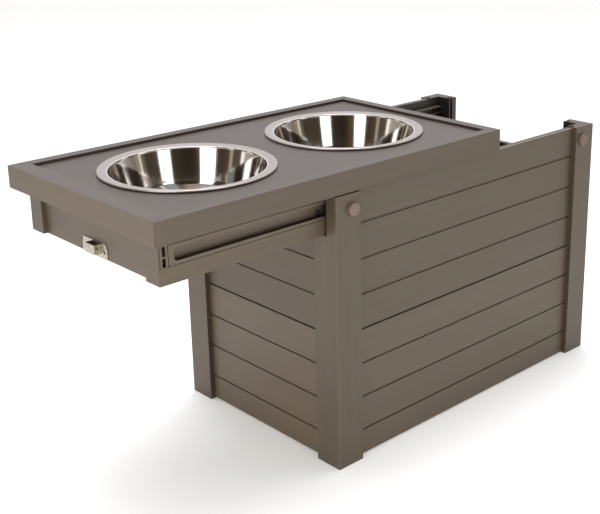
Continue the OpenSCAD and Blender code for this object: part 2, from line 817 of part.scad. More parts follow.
in_box() corner_post(true);  // post_front_near
in_box() far() corner_post(true);  // post_front_far
in_box() rear() corner_post(false);  // post_rear_near
in_box() rear() far() corner_post(false);  // post_rear_far
in_box() lower_panel(box_length);  // side_lower_near
in_box() upper_panel(box_length, side_panel_top);  // side_upper_near
in_box() far() lower_panel(box_length);  // side_lower_far
in_box() far() upper_panel(box_length, side_panel_top);  // side_upper_far
in_box() swap_xy() lower_panel(box_width);  // end_lower_front
in_box() difference() {  // end_upper_front
    swap_xy() upper_panel(box_width, end_panel_top);
    plate_screw_holes(case_z - plate_screw_z);
}
in_box() rear() swap_xy() lower_panel(box_width);  // end_lower_rear
in_box() rear() swap_xy() upper_panel(box_width, end_panel_top);  // end_upper_rear
in_box() storage_floor();
in_box() panel_screws();
in_box() slide_rail();  // slide_rail_near
in_box() far() slide_rail();  // slide_rail_far
in_box() slide_bolts();
in_box() cap_nuts();
in_box() latch_case();
in_box() latch_screws(case_x, case_z - plate_screw_z);  // case_screws
in_box() latch_bolt();
in_box() latch_button();
in_runner() slide_runner();  // slide_runner_near
in_runner() far() slide_runner();  // slide_runner_far
in_runner() runner_bumper();  // runner_bumper_near
in_runner() far() runner_bumper();  // runner_bumper_far
in_runner() slide_balls();  // slide_balls_near
in_runner() far() slide_balls();  // slide_balls_far
in_top() moulding_front();
in_top() moulding_rear();
in_top() moulding_near();
in_top() far() moulding_near();  // moulding_far
in_top() top_panel();
in_top() side_board();  // side_board_near
in_top() far() side_board();  // side_board_far
in_top() stub();  // stub_near
in_top() far() stub();  // stub_far
in_top() front_apron();
in_top() rear_apron();
in_top() slide_channel();  // slide_channel_near
in_top() far() slide_channel();  // slide_channel_far
in_top() channel_screws();
in_top() latch_keeper();
in_top() latch_screws(keeper_x, skirt_z + plate_screw_z);  // keeper_screws
in_top() bowl(-1);  // bowl_front
in_top() bowl(1);  // bowl_rear
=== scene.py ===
"""Dresses the raised dog feeder: boards, slides, latch, cap nuts, bowls and the studio."""

import math

import bmesh
import bpy
from mathutils import Matrix, Vector


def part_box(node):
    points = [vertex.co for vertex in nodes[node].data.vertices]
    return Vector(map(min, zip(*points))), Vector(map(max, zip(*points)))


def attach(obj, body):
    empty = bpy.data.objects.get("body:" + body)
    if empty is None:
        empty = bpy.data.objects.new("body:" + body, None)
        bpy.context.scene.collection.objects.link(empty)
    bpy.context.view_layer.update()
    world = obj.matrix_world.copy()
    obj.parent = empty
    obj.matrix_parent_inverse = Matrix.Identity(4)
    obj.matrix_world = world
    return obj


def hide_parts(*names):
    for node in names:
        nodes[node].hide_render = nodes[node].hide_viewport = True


bl_info = {
    "name": "Raised dog feeder",
    "version": (1, 0, 0),
    "blender": (4, 5, 0),
    "location": "View3D > Sidebar > Feeder",
    "description": "Finishes a raised dog feeder with a sliding top and two steel bowls",
    "category": "Object",
}

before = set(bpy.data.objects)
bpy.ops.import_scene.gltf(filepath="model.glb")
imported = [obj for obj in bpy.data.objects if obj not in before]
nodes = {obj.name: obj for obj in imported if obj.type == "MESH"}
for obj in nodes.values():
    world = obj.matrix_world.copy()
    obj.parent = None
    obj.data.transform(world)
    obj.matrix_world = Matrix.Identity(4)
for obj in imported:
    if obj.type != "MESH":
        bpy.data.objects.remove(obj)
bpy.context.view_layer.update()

MM = 0.001
# Size of the picture in pixels, and of the camera's sensor in millimetres
IMAGE_WIDTH = 600
IMAGE_HEIGHT = 514
SENSOR_WIDTH = 36.0

# Boards by the axis that their grain runs along
ALONG = {
    "x": (
        "side_lower_near", "side_upper_near", "side_lower_far", "side_upper_far", "storage_floor",
        "moulding_near", "moulding_far", "side_board_near", "side_board_far", "top_panel",
    ),
    "y": (
        "end_lower_front", "end_upper_front", "end_lower_rear", "end_upper_rear",
        "moulding_front", "moulding_rear", "front_apron", "rear_apron",
    ),
    "z": (
        "post_front_near", "post_front_far", "post_rear_near", "post_rear_far", "stub_near", "stub_far",
    ),
}
# Boards that are darker (below 1) or lighter (above 1) than the rest
# Partly their own tone, and partly painted light that brightens the lower panels and the tray's front
# boards
BOARD_TONES_AND_LIGHT = {
    "post_front_near": 0.99, "post_front_far": 1.04, "stub_far": 0.88, "front_apron": 1.04,
    "top_panel": 0.94, "moulding_front": 1.14, "side_board_near": 1.16, "side_board_far": 1.16,
    "side_lower_near": 1.18, "side_lower_far": 1.18, "end_lower_front": 1.30, "end_lower_rear": 1.30,
}
# Outer face of each grooved panel and moulding: its axis, and 0 for the low side of it or 1 for the high
OUTER = {
    "side_lower_near": (1, 0), "side_upper_near": (1, 0),
    "side_lower_far": (1, 1), "side_upper_far": (1, 1),
    "end_lower_front": (0, 0), "end_upper_front": (0, 0),
    "end_lower_rear": (0, 1), "end_upper_rear": (0, 1),
    "moulding_front": (0, 0), "moulding_rear": (0, 1),
    "moulding_near": (1, 0), "moulding_far": (1, 1),
}

# Height of the joint between lower and upper panels, and of one board
SEAM_Z = 176.7 * MM
BOARD_PITCH = 46.7 * MM
# Boards below the joint that the groove pattern is counted from, so that it never counts below zero
BOARDS_BELOW = 10
# Length of the panels' tongues, which are hidden in the posts
TONGUE = 8 * MM
# Where the shades of a panel start and end, from the middle of a groove and of the joint
GROOVE_SHADE = (0.8 * MM, 3.3 * MM)
SEAM_SHADE = (1.2 * MM, 2.6 * MM)
# Reach of the shade beside a post
POST_SHADE = 9 * MM
# Depths under a panel's outer face at which its grooves start, end, and its back begins
GROOVE_START = (0.15 * MM, 0.9 * MM)
GROOVE_END = (3.0 * MM, 3.3 * MM)
PANEL_BACK = (9.6 * MM, 9.9 * MM)
# Distances from a post's outer faces at which its leg ends, where its inner face begins, and over which
# its corner gets a painted highlight
LEG_END = (40.1 * MM, 40.9 * MM)
LEG_INSIDE = (16.4 * MM, 16.9 * MM)
CORNER_HIGHLIGHT = (0.7 * MM, 1.3 * MM)
# Depth under a moulding's outer face at which its inner face begins
MOULDING_INSIDE = (12 * MM, 13 * MM)
# Share of the bowls' colour that is left on their brushed flange, in red, green and blue
# Painted shade: the flange gets less colour so that its reflection of the walls is dimmer
FLANGE_SHADE = (0.56, 0.52, 0.52)
# Colour of the slides' bumpers
BUMPER_BLACK = (0.012, 0.011, 0.010)

# Faces closer than the first are joined, edges flatter than the second vanish, and those sharper than the
# third are rounded
WELD_REACH = 0.001 * MM
FLAT_ANGLE = math.radians(1)
EDGE_ANGLE = math.radians(35)

# Pieces of the slides that are pressed from sheet
SHEET_STEEL = (
    "slide_rail_near", "slide_rail_far", "slide_runner_near", "slide_runner_far",
    "slide_channel_near", "slide_channel_far",
)
# Bowls, each with the body that it rides on
BOWLS = {"bowl_front": "front_bowl", "bowl_rear": "rear_bowl"}
# Steps round a bowl, round its bottom's corner and round its rolled edge
RING_STEPS = 192
CORNER_STEPS = 32
BEAD_STEPS = 28
# Height from the inner wall's end to the flange, and size of the lip there
STEP_HIGH = 1.7 * MM
LIP = 0.4 * MM

# Half the floor's length, in metres
FLOOR_HALF = 14.0
# Light panels on both sides of the camera: place along x and y, width, and height of the top
FOOT_PANELS = {
    "right_panel": (-0.184, -1.208, 0.42, 0.886),
    "left_panel": (-0.986, -0.305, 0.37, 0.975),
}
# Height of their lower edges
PANEL_FOOT = 0.06
# Low light panels: places, the point they face and their size
LOW_PANELS = {"low_left_panel": (-2.3, -0.4, 0.32), "low_right_panel": (0.1, -2.5, 0.32)}
LOW_AIM = (0.0, 0.0, 0.1)
LOW_SIZE = (2.2, 0.5)
# Light panel over the feeder: place, the point it faces and its size
CEILING_PLACE = (0.15, 0.35, 2.6)
CEILING_AIM = (-0.1, 0.1, 0)
CEILING_SIZE = (1.5, 1.5)
WARM_LIGHT = (1.0, 0.985, 0.96)
WHITE_LIGHT = (1.0, 1.0, 1.0)

# Direction from the feeder towards the camera, and colour of the sky straight above
TOWARDS_X = -0.7110
TOWARDS_Y = -0.7031
SKY_TOP = (1.3, 1.3, 1.32)
# Heights here run from 0 at the horizon to 1 straight up: of the walls' lower part, of its drop on one
# side, with the degrees over which it drops, of its soft upper edge, and of the start of the sky above
BAND_TOP = 0.575
BAND_DROP = 0.19
BAND_DROP_PLACE = (28, 38)
BAND_FADE = 0.04
SKY_START = (0.90, 0.97)
# Colours of the studio's walls in their lower and in their upper part, by direction in degrees from the
# camera's side
SKY_BAND = (
    (-179.9, (1.1, 1.1, 1.1)), (-130, (0.95, 0.95, 0.95)), (-104, (0.42, 0.38, 0.33)),
    (-88, (0.50, 0.46, 0.40)), (-83.5, (0.9, 0.86, 0.78)), (-82, (1.7, 1.65, 1.5)),
    (-79, (1.6, 1.5, 1.35)), (-77, (0.13, 0.10, 0.07)), (-63, (0.12, 0.09, 0.065)),
    (-61, (0.62, 0.52, 0.42)), (-58, (0.52, 0.44, 0.33)), (-56, (0.11, 0.08, 0.055)),
    (-44, (0.065, 0.042, 0.026)), (-9, (0.11, 0.07, 0.035)), (-3, (0.055, 0.036, 0.02)),
    (4, (0.032, 0.025, 0.017)), (30, (0.05, 0.038, 0.022)), (60, (0.085, 0.06, 0.038)),
    (76, (0.07, 0.055, 0.038)), (80, (0.18, 0.15, 0.11)), (84.5, (0.24, 0.2, 0.15)),
    (86, (1.6, 1.5, 1.3)), (88, (0.50, 0.42, 0.33)), (98, (0.28, 0.23, 0.18)),
    (112, (0.45, 0.40, 0.34)), (135, (0.95, 0.95, 0.95)), (179.9, (1.1, 1.1, 1.1)),
)
SKY_CEILING = (
    (-179.9, (1.5, 1.5, 1.5)), (-110, (1.4, 1.4, 1.4)), (-75, (0.30, 0.32, 0.31)),
    (-52, (0.12, 0.11, 0.10)), (-40, (0.42, 0.46, 0.46)), (-18, (0.48, 0.52, 0.52)),
    (-9, (0.50, 0.40, 0.33)), (14, (0.46, 0.34, 0.27)), (22, (0.26, 0.18, 0.15)),
    (30, (0.19, 0.17, 0.15)), (38, (0.40, 0.44, 0.43)), (50, (0.40, 0.44, 0.43)),
    (57, (0.30, 0.30, 0.28)), (61, (1.3, 1.25, 1.15)), (65, (0.20, 0.18, 0.15)),
    (78, (0.12, 0.10, 0.08)), (84, (0.60, 0.63, 0.62)), (110, (1.4, 1.4, 1.4)),
    (179.9, (1.5, 1.5, 1.5)),
)


class FeederColours(bpy.types.PropertyGroup):
    """Colours of the feeder's finishes"""

    board: bpy.props.FloatVectorProperty(
        name="Board", description="Colour of the stained boards", subtype="COLOR",
        default=(0.079, 0.0575, 0.0335), min=0, max=1,
    )
    board_warm: bpy.props.FloatVectorProperty(
        name="Warm grain", description="Colour of the boards' warmer streaks", subtype="COLOR",
        default=(0.077, 0.0540, 0.0340), min=0, max=1,
    )
    # Painted sheen and shade: upward faces get a cooler, darker colour than the sides
    top_sheen_and_shade: bpy.props.FloatVectorProperty(
        name="Upper faces", description="Colour of the boards' upper faces", subtype="COLOR",
        default=(0.066, 0.0465, 0.040), min=0, max=1,
    )
    # Painted light in the grooves: lighter than the boards, standing in for light that reaches into them
    groove_light: bpy.props.FloatVectorProperty(
        name="Groove", description="Colour in the grooves between boards", subtype="COLOR",
        default=(0.185, 0.136, 0.088), min=0, max=1,
    )
    # Painted shade beside grooves and posts, on upper faces, leg ends and inner faces; also the dark panel
    # joint
    shadow: bpy.props.FloatVectorProperty(
        name="End faces", description="Colour of end faces and of places where the stain gathers",
        subtype="COLOR", default=(0.042, 0.029, 0.019), min=0, max=1,
    )
    # Painted shade on faces inside the box, where little light reaches
    inner: bpy.props.FloatVectorProperty(
        name="Inner faces", description="Colour of the boards inside of the box", subtype="COLOR",
        default=(0.030, 0.024, 0.020), min=0, max=1,
    )
    steel: bpy.props.FloatVectorProperty(
        name="Stainless steel", description="Colour of the bowls", subtype="COLOR",
        default=(0.68, 0.655, 0.635), min=0, max=1,
    )
    zinc: bpy.props.FloatVectorProperty(
        name="Sheet steel", description="Colour of the slides", subtype="COLOR",
        default=(0.135, 0.104, 0.076), min=0, max=1,
    )
    nickel: bpy.props.FloatVectorProperty(
        name="Nickel", description="Colour of the latch", subtype="COLOR",
        default=(0.57, 0.505, 0.42), min=0, max=1,
    )
    cap: bpy.props.FloatVectorProperty(
        name="Cap nuts", description="Colour of the cap nuts", subtype="COLOR",
        default=(0.215, 0.15, 0.13), min=0, max=1,
    )


class FeederSizes(bpy.types.PropertyGroup):
    """Sizes of the feeder's finishes"""

    board_edge: bpy.props.FloatProperty(
        name="Board edges", description="Rounding of the boards' edges", unit="LENGTH",
        default=0.7 * MM, min=0,
    )
    mitre_edge: bpy.props.FloatProperty(
        name="Mitre edges", description="Rounding of the moulding's edges", unit="LENGTH",
        default=0.5 * MM, min=0,
    )
    sheet_edge: bpy.props.FloatProperty(
        name="Sheet edges", description="Rounding of the sheet steel's edges", unit="LENGTH",
        default=0.25 * MM, min=0,
    )
    bowl_sheet: bpy.props.FloatProperty(
        name="Bowl sheet", description="Thickness of the bowls' sheet", unit="LENGTH",
        default=1.0 * MM, min=0,
    )
    bowl_flange: bpy.props.FloatProperty(
        name="Bowl flange", description="Width of the bowls' flange", unit="LENGTH",
        default=11.5 * MM, min=0,
    )
    bowl_bead: bpy.props.FloatProperty(
        name="Bowl bead", description="Thickness of the rolled edge", unit="LENGTH",
        default=3.3 * MM, min=0,
    )
    bowl_round: bpy.props.FloatProperty(
        name="Bowl round", description="Radius between wall and floor", unit="LENGTH",
        default=25 * MM, min=0,
    )
    bowl_lean: bpy.props.FloatProperty(
        name="Bowl lean", description="Lean of the bowls' wall", subtype="ANGLE",
        default=math.radians(15.5), min=0,
    )


class FeederStudio(bpy.types.PropertyGroup):
    """Camera and light of the studio"""

    azimuth: bpy.props.FloatProperty(
        name="Azimuth", description="Direction of the camera round the feeder", subtype="ANGLE",
        default=math.radians(-44.667),
    )
    elevation: bpy.props.FloatProperty(
        name="Elevation", description="Height of the camera over the horizon", subtype="ANGLE",
        default=math.radians(17.284),
    )
    roll: bpy.props.FloatProperty(
        name="Roll", description="Roll of the camera", subtype="ANGLE",
        default=math.radians(-0.273),
    )
    distance: bpy.props.FloatProperty(
        name="Distance", description="Distance of the camera from the aimed point", unit="LENGTH",
        default=1.87742,
    )
    aim: bpy.props.FloatVectorProperty(
        name="Aim", description="Point on the camera's axis", subtype="TRANSLATION",
        default=(0.30574, 0.22655, 0.180),
    )
    focal_pixels: bpy.props.FloatProperty(
        name="Focal length", description="Focal length in pixels of the photograph", default=1090.01,
    )
    centre_x: bpy.props.FloatProperty(
        name="Axis across", default=375.0,
        description="Place of the camera's axis in the photograph, in pixels from the left",
    )
    centre_y: bpy.props.FloatProperty(
        name="Axis down", default=197.0,
        description="Place of the camera's axis in the photograph, in pixels from the top",
    )
    left_panel: bpy.props.FloatProperty(
        name="Left light panel", description="Radiance of the light panel left of the camera",
        default=3.4, min=0,
    )
    right_panel: bpy.props.FloatProperty(
        name="Right light panel", description="Radiance of the light panel right of the camera",
        default=2.2, min=0,
    )
    low_panels: bpy.props.FloatProperty(
        name="Low panels", description="Radiance of the low light panels further away",
        default=3.0, min=0,
    )
    ceiling_panel: bpy.props.FloatProperty(
        name="Ceiling panel", description="Radiance of the light panel over the feeder",
        default=5.8, min=0,
    )


def shaded(colour, share):
    """A colour made darker or lighter."""
    return tuple(channel * share for channel in colour)


def stretched(fine, long, axis=None):
    """Fineness of a grain along x, y and z: fine, but drawn out along one axis if there is one."""
    scale = [fine, fine, fine]
    if axis is not None:
        scale[axis] = long
    return tuple(scale)


class Wire:
    """A value or vector in a finish; arithmetic on it adds Math nodes."""

    def __init__(self, finish, socket):
        self.finish = finish
        self.socket = socket

    def __add__(self, other):
        return self.finish.math("ADD", self, other)

    def __radd__(self, other):
        return self.finish.math("ADD", other, self)

    def __sub__(self, other):
        return self.finish.math("SUBTRACT", self, other)

    def __rsub__(self, other):
        return self.finish.math("SUBTRACT", other, self)

    def __mul__(self, other):
        return self.finish.math("MULTIPLY", self, other)

    def __rmul__(self, other):
        return self.finish.math("MULTIPLY", other, self)

    def __truediv__(self, other):
        return self.finish.math("DIVIDE", self, other)

    def __rtruediv__(self, other):
        return self.finish.math("DIVIDE", other, self)

    def __pow__(self, other):
        return self.finish.math("POWER", self, other)

    def __abs__(self):
        return self.finish.math("ABSOLUTE", self)


class Finish:
    """A material whose nodes are made by expressions."""

    def __init__(self, name, tree=None):
        if tree is None:
            self.material = bpy.data.materials.new(name)
            self.material.use_nodes = True
            tree = self.material.node_tree
        self.tree = tree
        self.tree.nodes.clear()

    def add(self, kind, settings=None, inputs=None, output=0):
        """Adds a node, sets its settings, then fills its sockets with values or links."""
        node = self.tree.nodes.new(kind)
        for name, value in (settings or {}).items():
            if name == "stops":
                self.fill_ramp(node.color_ramp, value)
            else:
                setattr(node, name, value)
        for key, value in (inputs or {}).items():
            socket = node.inputs[key]
            if isinstance(value, Wire):
                self.tree.links.new(value.socket, socket)
            else:
                socket.default_value = value
        return Wire(self, node.outputs[output]) if len(node.outputs) else node

    @staticmethod
    def fill_ramp(ramp, stops):
        while len(ramp.elements) > 1:
            ramp.elements.remove(ramp.elements[0])
        first = True
        for place, shade in stops:
            element = ramp.elements[0] if first else ramp.elements.new(place)
            element.position = place
            element.color = (*shade, 1)
            first = False

    def math(self, operation, *values):
        return self.add("ShaderNodeMath", {"operation": operation}, dict(enumerate(values)))

    def scaled(self, vector, scale):
        """A vector multiplied axis by axis."""
        return self.add("ShaderNodeVectorMath", {"operation": "MULTIPLY"}, {0: vector, 1: scale})

    def step(self, value, low, high):
        """0 below low, 1 above high, smooth between."""
        return self.add(
            "ShaderNodeMapRange", {"interpolation_type": "SMOOTHSTEP"},
            {"Value": value, "From Min": low, "From Max": high},
        )

    def mix(self, share, low, high):
        """A colour between two colours."""
        low = low if isinstance(low, Wire) else (*low, 1)
        high = high if isinstance(high, Wire) else (*high, 1)
        settings = {"data_type": "RGBA", "clamp_factor": True}
        return self.add("ShaderNodeMix", settings, {0: share, 6: low, 7: high}, output=2)

    def place(self):
        """The place on the piece, in metres."""
        return self.add("ShaderNodeTexCoord", output=3)

    def facing(self):
        """The direction the surface faces, in the piece's own axes."""
        return self.add("ShaderNodeTexCoord", output=1)

    def split(self, vector):
        node = self.add("ShaderNodeSeparateXYZ", inputs={0: vector}).socket.node
        return [Wire(self, socket) for socket in node.outputs]

    def combine(self, x, y, z):
        return self.add("ShaderNodeCombineXYZ", inputs={0: x, 1: y, 2: z})

    def grey(self, value):
        """A grey of one value."""
        return self.combine(value, value, value)

    def noise(self, at, detail=2.0, roughness=0.5, scale=1.0):
        inputs = {"Vector": at, "Scale": scale, "Detail": detail, "Roughness": roughness}
        return self.add("ShaderNodeTexNoise", inputs=inputs)

    def bump(self, height, distance, strength):
        inputs = {"Height": height, "Distance": distance, "Strength": strength}
        return self.add("ShaderNodeBump", inputs=inputs)

    def surface(self, inputs):
        shader = self.add("ShaderNodeBsdfPrincipled", inputs=inputs)
        self.add("ShaderNodeOutputMaterial", inputs={"Surface": shader})
        return self.material


def board_finish(name, along, colours, tone_and_light, shape):
    """Stained board with fine grain along one axis, painted sheen and shade on top; a shape adds the
    painted shade and light of its kind.
    """
    finish = Finish(name)
    place = finish.place()
    upward = finish.split(finish.facing())[2]
    streaks = finish.noise(finish.scaled(place, stretched(170.0, 3.5, along)), detail=4.0, roughness=0.6)
    broad = finish.noise(finish.scaled(place, stretched(30.0, 2.6, along)))
    hair = finish.noise(finish.scaled(place, stretched(900.0, 14.0, along)))
    # The board's colour by its share, which is partly its own tone and partly painted light
    board = shaded(colours.board, tone_and_light)
    side = finish.mix(finish.step(broad, 0.36, 0.64), board, shaded(colours.board_warm, tone_and_light))
    # Painted sheen and shade on upward faces
    painted_top = finish.mix(finish.step(upward, 0.75, 0.95), side, shaded(colours.top_sheen_and_shade, tone_and_light))
    depth = 0.60 + streaks * 0.54 + hair * 0.26
    shade = finish.add(
        "ShaderNodeMix", {"data_type": "RGBA", "blend_type": "MULTIPLY"},
        {0: 1.0, 6: painted_top, 7: finish.grey(depth)}, output=2,
    )
    if shape:
        shade = shape(finish, finish.split(place), upward, shade, colours)
    bump = finish.bump(streaks * 0.6 + hair * 0.4, 0.05 * MM, 0.6)
    roughness = 0.46 + (streaks - 0.5) * 0.16
    return finish.surface({"Base Color": shade, "Roughness": roughness, "Normal": bump})


def panel_shape(axis, face, length_axis, low, high):
    """Grooved panel: painted shade towards its grooves and posts, on its upper faces and on its back, and
    painted light in its grooves.
    """
    def darken(finish, place, upward, shade, colours):
        inside = abs(place[axis] - face)
        height = place[2] - SEAM_Z + BOARDS_BELOW * BOARD_PITCH
        soft = 1.0 - finish.step(finish.math("PINGPONG", height, BOARD_PITCH / 2), *GROOVE_SHADE)
        seam = 1.0 - finish.step(abs(place[2] - SEAM_Z), *SEAM_SHADE)
        middle = abs(place[length_axis] - (low + high) / 2)
        end = (high - low) / 2 - TONGUE
        by_post = finish.step(middle, end - POST_SHADE, end)
        # Painted shade beside the grooves and beside the posts
        shade = finish.mix(soft * 0.42 + by_post * 0.14, shade, tuple(colours.shadow))
        cut = finish.step(inside, *GROOVE_START) * (1.0 - finish.step(inside, *GROOVE_END))
        # Painted light in the grooves
        shade = finish.mix(cut, shade, tuple(colours.groove_light))
        # Painted shade on the panels' upper faces, under the tray's moulding, and the dark joint between
        # lower and upper panels
        edge = finish.math("MAXIMUM", seam * 0.6, finish.step(upward, 0.6, 0.9) * (1.0 - cut) * 0.8)
        shade = finish.mix(edge, shade, tuple(colours.shadow))
        # Painted shade on the panel's back, inside the box
        return finish.mix(finish.step(inside, *PANEL_BACK), shade, tuple(colours.inner))
    return darken


def post_shape(x_face, y_face):
    """Corner post: painted shade on its leg ends, inner faces and top, and a painted highlight on its
    corner.
    """
    def darken(finish, place, upward, shade, colours):
        from_x = abs(place[0] - x_face)
        from_y = abs(place[1] - y_face)
        flat = 1.0 - finish.step(upward, 0.5, 0.8)
        # Painted shade on the legs' end faces beside the panels
        ends_x = finish.step(from_x, *LEG_END)
        ends_y = finish.step(from_y, *LEG_END)
        ends = finish.math("MAXIMUM", ends_x * 0.3, ends_y * 0.7) * flat
        # Painted shade on the post's inner faces
        inner = finish.step(finish.math("MINIMUM", from_x, from_y), *LEG_INSIDE) * flat
        # Painted shade on the post's top, under the tray's moulding
        shade = finish.mix((1.0 - flat) * 0.45, shade, tuple(colours.shadow))
        # Painted highlight along the post's corner
        corner = 1.0 - finish.step(finish.math("MAXIMUM", from_x, from_y), *CORNER_HIGHLIGHT)
        shade = finish.mix(corner * flat, shade, shaded(colours.board, 1.25))
        shade = finish.mix(ends, shade, tuple(colours.shadow))
        return finish.mix(inner, shade, tuple(colours.inner))
    return darken


def moulding_shape(axis, face):
    """Moulding rail: painted shade on the inner face that stands over the top panel."""
    def darken(finish, place, upward, shade, colours):
        inside = abs(place[axis] - face)
        flat = 1.0 - finish.step(abs(upward), 0.3, 0.6)
        # Painted shade on the inner face
        dark = finish.step(inside, *MOULDING_INSIDE) * flat * 0.75
        return finish.mix(dark, shade, tuple(colours.shadow))
    return darken


def steel_finish(
    name, colour, roughness, streak_axis=None, bump_size=0.02 * MM, metallic=1.0, stain=60.0, dull=0.82,
):
    """Metal with fine drawn lines along one axis, or a plain satin grain.

    stain is the fineness of its stains and dull their tone.
    """
    finish = Finish(name)
    place = finish.place()
    lines = finish.noise(
        finish.scaled(place, stretched(900.0, 14.0, streak_axis)), detail=3.0, roughness=0.6,
    )
    stains = finish.noise(place, detail=3.0, roughness=0.55, scale=stain)
    stained = finish.step(lines * 0.6 + stains * 0.4, 0.35, 0.65)
    tone = finish.mix(stained, shaded(colour, dull), tuple(colour))
    gloss = roughness + (stains - 0.5) * 0.16 + (lines - 0.5) * 0.10
    normal = finish.bump(lines, bump_size, 0.5)
    return finish.surface({
        "Base Color": tone, "Metallic": metallic, "Roughness": gloss, "Normal": normal,
    })


def bowl_finish(name, colour, mouth):
    """Spun steel: polished inside of the mouth's radius, satin on the flange."""
    finish = Finish(name)
    place = finish.place()
    x, y, z = finish.split(place)
    radius = (x * x + y * y) ** 0.5
    turned_place = finish.combine(radius * 2400.0, 0.0, z * 2400.0)
    rings = finish.noise(turned_place, detail=3.0, roughness=0.6)
    stains = finish.noise(place, detail=3.0, roughness=0.55, scale=45.0)
    grain = finish.noise(place, detail=2.0, roughness=0.6, scale=2600.0)
    flange = finish.step(radius, mouth - 0.3 * MM, mouth + 0.5 * MM)
    polished = finish.mix(rings * 0.5 + stains * 0.5, shaded(colour, 0.9), tuple(colour))
    # Painted shade on the flange, dimming its reflection
    brushed = tuple(channel * share for channel, share in zip(colour, FLANGE_SHADE))
    tone = finish.mix(flange, polished, brushed)
    polish = 0.05 + stains * 0.05 + rings * 0.03
    satin = 0.36 + (grain - 0.5) * 0.14
    roughness = polish + (satin - polish) * flange
    normal = finish.bump(rings * (1.0 - flange) + grain * flange, 0.004 * MM, 0.5)
    return finish.surface({
        "Base Color": tone, "Metallic": 1.0, "Roughness": roughness, "Normal": normal,
    })


def plastic_finish(name, colour, roughness):
    """Moulded plastic with a fine pebbled skin."""
    finish = Finish(name)
    pebble = finish.noise(finish.place(), scale=1400.0)
    tone = finish.mix(finish.step(pebble, 0.3, 0.7), shaded(colour, 0.7), colour)
    normal = finish.bump(pebble, 0.03 * MM, 0.5)
    gloss = roughness + (pebble - 0.5) * 0.2
    return finish.surface({"Base Color": tone, "Roughness": gloss, "Normal": normal})


def dress(node, material, edge=0):
    """Gives a CAD node its finish, and rounds its edges where an edge is given."""
    piece = nodes[node]
    if not piece.material_slots:
        piece.data.materials.append(material)
    for slot in piece.material_slots:
        slot.material = material
    if not edge:
        return
    weld = piece.modifiers.new("Join faces", "WELD")
    weld.merge_threshold = WELD_REACH
    flat = piece.modifiers.new("Flat faces", "DECIMATE")
    flat.decimate_type = "DISSOLVE"
    flat.angle_limit = FLAT_ANGLE
    round_edges = piece.modifiers.new("Round edges", "BEVEL")
    round_edges.width = edge
    round_edges.segments = 2
    round_edges.limit_method = "ANGLE"
    round_edges.angle_limit = EDGE_ANGLE
    round_edges.harden_normals = True
    round_edges.use_clamp_overlap = True


class FEEDER_OT_boards(bpy.types.Operator):
    """Finish every board of the box and of the sliding top"""

    bl_idname = "feeder.boards"
    bl_label = "Boards"

    def execute(self, context):
        colours = context.scene.feeder_colours
        sizes = context.scene.feeder_sizes
        for along, group in ALONG.items():
            for node in group:
                material = board_finish(
                    f"{node}_stain", "xyz".index(along), colours, BOARD_TONES_AND_LIGHT.get(node, 1.0), self.shape(node),
                )
                edge = sizes.mitre_edge if node.startswith("moulding") else sizes.board_edge
                dress(node, material, edge)
        return {"FINISHED"}

    def shape(self, node):
        """The painted shade and light of one board, or None."""
        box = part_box(node)
        if node.startswith("post"):
            return post_shape(box["rear" in node].x, box["far" in node].y)
        if node not in OUTER:
            return None
        axis, side = OUTER[node]
        if node.startswith("moulding"):
            return moulding_shape(axis, box[side][axis])
        return panel_shape(axis, box[side][axis], 1 - axis, box[0][1 - axis], box[1][1 - axis])


class FEEDER_OT_slides(bpy.types.Operator):
    """Finish the telescopic slides, their balls, bumpers and screws"""

    bl_idname = "feeder.slides"
    bl_label = "Slides"

    def execute(self, context):
        colours = context.scene.feeder_colours
        sheet = steel_finish("slide_steel", colours.zinc, 0.50, streak_axis=0, metallic=0.5)
        for node in SHEET_STEEL:
            dress(node, sheet, context.scene.feeder_sizes.sheet_edge)
        dress("channel_screws", sheet)
        screw = steel_finish("screw_steel", shaded(colours.zinc, 0.7), 0.5)
        for node in ("panel_screws", "slide_bolts"):
            dress(node, screw)
        bright = steel_finish("ball_steel", colours.steel, 0.2)
        for node in ("slide_balls_near", "slide_balls_far"):
            dress(node, bright)
        black = plastic_finish("bumper_plastic", BUMPER_BLACK, 0.5)
        for node in ("runner_bumper_near", "runner_bumper_far"):
            dress(node, black)
        return {"FINISHED"}


class FEEDER_OT_fittings(bpy.types.Operator):
    """Finish the cap nuts and the latch"""

    bl_idname = "feeder.fittings"
    bl_label = "Caps and latch"

    def execute(self, context):
        colours = context.scene.feeder_colours
        bronze = steel_finish("cap_bronze", colours.cap, 0.55, metallic=0.6, stain=300.0)
        dress("cap_nuts", bronze)
        nickel = steel_finish(
            "latch_nickel", colours.nickel, 0.24, bump_size=0.1 * MM, stain=420.0, dull=0.45,
        )
        for node in ("latch_keeper", "latch_case", "latch_bolt"):
            dress(node, nickel, context.scene.feeder_sizes.sheet_edge)
        for node in ("keeper_screws", "case_screws", "latch_button"):
            dress(node, nickel)
        return {"FINISHED"}


def arc(centre, radius, start, end, steps):
    """Points on an arc, with angles in degrees."""
    points = []
    for step in range(steps + 1):
        angle = math.radians(start + (end - start) * step / steps)
        points.append((centre[0] + radius * math.cos(angle), centre[1] + radius * math.sin(angle)))
    return points


